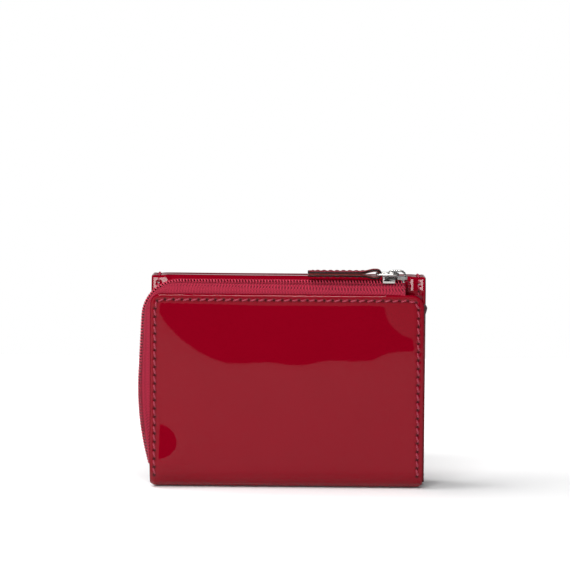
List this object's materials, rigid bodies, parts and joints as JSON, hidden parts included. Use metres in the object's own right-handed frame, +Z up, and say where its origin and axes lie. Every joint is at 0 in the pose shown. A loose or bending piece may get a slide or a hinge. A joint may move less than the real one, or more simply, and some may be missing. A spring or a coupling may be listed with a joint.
{
  "type": "long wallet",
  "caption": "Compact patent-leather flap wallet with an L-shaped zip coin pocket, note pockets, card slots and a press stud; it stands on its bottom fold.",
  "frame": {"origin": "middle of the flat of the bottom fold, on the surface that the wallet stands on", "axes": "+X along the width, to the right seen from the zip pocket; +Y from the zip pocket towards the flap; +Z up"},
  "size_m": [0.1225, 0.0331, 0.0927],
  "materials": {
    "patent_leather": "high-gloss patent, deep red",
    "stiffener_board": "uncoated board",
    "lining_fabric": "fine woven lining",
    "card_slot_leather": "smooth semi-matte",
    "zip_tape": "herringbone woven tape",
    "zip_teeth": "dyed satin",
    "bright_metal": "polished nickel",
    "thread": "waxed twist",
    "pull_leather": "patent face, dark painted edge",
    "pull_thread": "waxed twist"
  },
  "bodies": {
    "body": {"outer_cover": "patent_leather", "pocket_panel_stiffener": "stiffener_board", "pocket_panel_lining": "lining_fabric", "base_stiffener": "stiffener_board", "front_panel_stiffener": "stiffener_board", "front_panel_lining": "lining_fabric", "back_panel": "patent_leather", "back_panel_stiffener": "stiffener_board", "coin_pocket_back_lining": "lining_fabric", "note_pocket_lining": "lining_fabric", "coin_pocket_gusset": "lining_fabric", "note_gusset_left": "lining_fabric", "note_gusset_right": "lining_fabric", "note_divider": "lining_fabric", "card_slot_1": "card_slot_leather", "card_slot_2": "card_slot_leather", "card_slot_3": "card_slot_leather", "zip_tape_outer": "zip_tape", "zip_tape_inner": "zip_tape", "zip_teeth_outer": "zip_teeth", "zip_teeth_inner": "zip_teeth", "zip_top_stops": "bright_metal", "zip_bottom_stop": "bright_metal", "zip_end_tab": "zip_tape", "snap_stud": "bright_metal", "snap_stud_rivet": "bright_metal", "cover_stitching": "thread", "back_panel_stitching": "thread"},
    "spine": {"spine_leather": "patent_leather", "spine_stiffener": "stiffener_board", "spine_lining": "lining_fabric", "spine_stitching": "thread"},
    "flap": {"flap_leather": "patent_leather", "flap_stiffener": "stiffener_board", "flap_lining": "lining_fabric", "flap_card_slot_1": "card_slot_leather", "flap_card_slot_2": "card_slot_leather", "flap_card_slot_3": "card_slot_leather", "snap_socket": "bright_metal", "snap_cap": "bright_metal", "flap_stitching": "thread"},
    "slider": {"slider_body": "bright_metal", "slider_bridge": "bright_metal"},
    "pull_link": {"pull_link": "bright_metal"},
    "pull_tab": {"pull_tab_leather": "pull_leather", "pull_tab_stitching": "pull_thread"}
  },
  "joints": [
    {"name": "spine_crease", "type": "hinge", "parent": "body", "child": "spine", "pos_m": [0, -0.0019, 0.0877], "axis": [1, 0, 0], "range_deg": [0, 90]},
    {"name": "flap_crease", "type": "hinge", "parent": "spine", "child": "flap", "pos_m": [0, 0.0171, 0.0877], "axis": [1, 0, 0], "range_deg": [0, 90]},
    {"name": "zip_slide", "type": "slide", "parent": "body", "child": "slider", "axis": [-1, 0, 0], "range_m": [0, 0.086]},
    {"name": "pull_link_swing", "type": "hinge", "parent": "slider", "child": "pull_link", "pos_m": [0.0463, -0.0075, 0.0906], "axis": [0, 1, 0], "range_deg": [0, 120]},
    {"name": "pull_tab_swing", "type": "hinge", "parent": "pull_link", "child": "pull_tab", "pos_m": [0.0375, -0.0075, 0.0906], "axis": [0, 1, 0], "range_deg": [0, 70]}
  ],
  "couplings": [
    {"joint": "spine_crease", "follows": "flap_crease", "ratio": 1}
  ]
}
